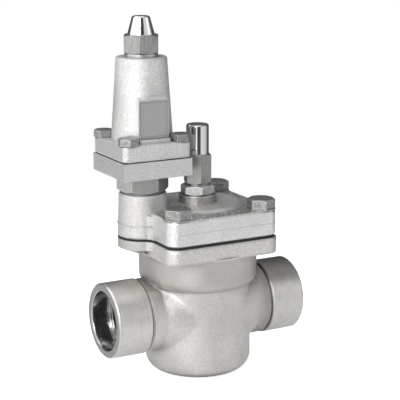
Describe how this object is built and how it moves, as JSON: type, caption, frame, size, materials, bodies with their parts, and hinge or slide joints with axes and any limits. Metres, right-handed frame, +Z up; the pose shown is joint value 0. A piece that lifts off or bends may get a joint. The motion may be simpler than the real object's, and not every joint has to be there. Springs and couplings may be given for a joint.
{
  "type": "pressure regulating valve",
  "caption": "Pilot-operated pressure regulating valve with socket welding ends, a square bolted cover, a capped manual spindle and a screwed-in pilot under a conical bonnet.",
  "frame": {"origin": "centre of the flat base, on the stem axis", "axes": "+Z up along the stem axis, +X along the pipe from the inlet to the outlet, the label faces -Y"},
  "size_m": [0.1534, 0.091, 0.263],
  "materials": {
    "cast_body": "satin",
    "cast_bright": "satin",
    "machined_block": "satin",
    "fasteners": "satin",
    "polished_caps": "polished",
    "steel": "satin",
    "seal_rubber": "matte",
    "gasket_fibre": "matte",
    "fluoropolymer": "matte",
    "brass": "satin",
    "aluminium": "satin",
    "spring_steel": "satin"
  },
  "bodies": {
    "valve": {"valve_body": "cast_body", "cover": "cast_bright", "cover_gasket": "gasket_fibre", "cover_bolts": "fasteners", "valve_insert": "steel", "insert_o_ring_upper": "seal_rubber", "insert_o_ring_lower": "seal_rubber", "closing_spring": "spring_steel", "spindle_packing": "gasket_fibre", "gland_nut": "fasteners", "pilot_body": "machined_block", "pilot_washer": "aluminium", "port_o_ring": "seal_rubber", "pilot_seat": "brass", "diaphragm": "steel", "range_spring": "spring_steel", "pilot_bonnet": "cast_bright", "bonnet_screws": "fasteners", "label_plate": "aluminium"},
    "servo": {"servo_piston": "steel", "piston_ring": "fluoropolymer", "piston_rod": "steel", "rod_nuts": "fasteners", "throttle_cone": "steel", "seat_disc": "fluoropolymer"},
    "spindle_seal": {"spindle_o_ring": "seal_rubber"},
    "spindle": {"manual_spindle": "steel"},
    "stem_cap_seal": {"spindle_cap_gasket": "aluminium"},
    "stem_cap": {"spindle_cap": "polished_caps"},
    "pilot_cap_seal": {"pilot_cap_gasket": "aluminium"},
    "pilot_cap": {"pilot_cap": "polished_caps"},
    "setting": {"setting_spindle": "steel", "setting_o_ring": "seal_rubber"},
    "follower": {"spring_follower": "brass"},
    "plate": {"pressure_plate": "brass"}
  },
  "joints": [
    {"name": "servo_travel", "type": "slide", "parent": "valve", "child": "servo", "axis": [0, 0, 1], "range_m": [-0.008, 0], "stiffness_N_per_m": 2000, "springref_m": 0.01, "deforming": ["closing_spring"]},
    {"name": "spindle_lift", "type": "slide", "parent": "valve", "child": "spindle_seal", "axis": [0, 0, 1], "range_m": [-0.00451, 0]},
    {"name": "spindle_turn", "type": "hinge", "parent": "spindle_seal", "child": "spindle", "pos_m": [0, 0, 0.12], "axis": [0, 0, 1], "range_deg": [-1080, 0]},
    {"name": "stem_cap_lift", "type": "slide", "parent": "valve", "child": "stem_cap_seal", "axis": [0, 0, 1], "range_m": [0, 0.00901]},
    {"name": "stem_cap_turn", "type": "hinge", "parent": "stem_cap_seal", "child": "stem_cap", "pos_m": [0, 0, 0.16], "axis": [0, 0, 1], "range_deg": [0, 2160]},
    {"name": "pilot_cap_lift", "type": "slide", "parent": "valve", "child": "pilot_cap_seal", "axis": [0, 0, 1], "range_m": [0, 0.00901]},
    {"name": "pilot_cap_turn", "type": "hinge", "parent": "pilot_cap_seal", "child": "pilot_cap", "pos_m": [-0.04135, 0.0065, 0.245], "axis": [0, 0, 1], "range_deg": [0, 2160]},
    {"name": "setting_turn", "type": "hinge", "parent": "valve", "child": "setting", "pos_m": [-0.04135, 0.0065, 0.22], "axis": [0, 0, 1], "range_deg": [-1800, 0]},
    {"name": "follower_travel", "type": "slide", "parent": "valve", "child": "follower", "axis": [0, 0, -1], "range_m": [0, 0.01001], "deforming": ["range_spring"]},
    {"name": "diaphragm_lift", "type": "slide", "parent": "valve", "child": "plate", "axis": [0, 0, 1], "range_m": [0, 0.0004], "stiffness_N_per_m": 20000, "springref_m": -0.001, "deforming": ["range_spring"]}
  ],
  "couplings": [
    {"joint": "spindle_lift", "follows": "spindle_turn", "m_per_rad": 0.00023873},
    {"joint": "stem_cap_lift", "follows": "stem_cap_turn", "m_per_rad": 0.00023873},
    {"joint": "pilot_cap_lift", "follows": "pilot_cap_turn", "m_per_rad": 0.00023873},
    {"joint": "follower_travel", "follows": "setting_turn", "m_per_rad": -0.00031831}
  ]
}
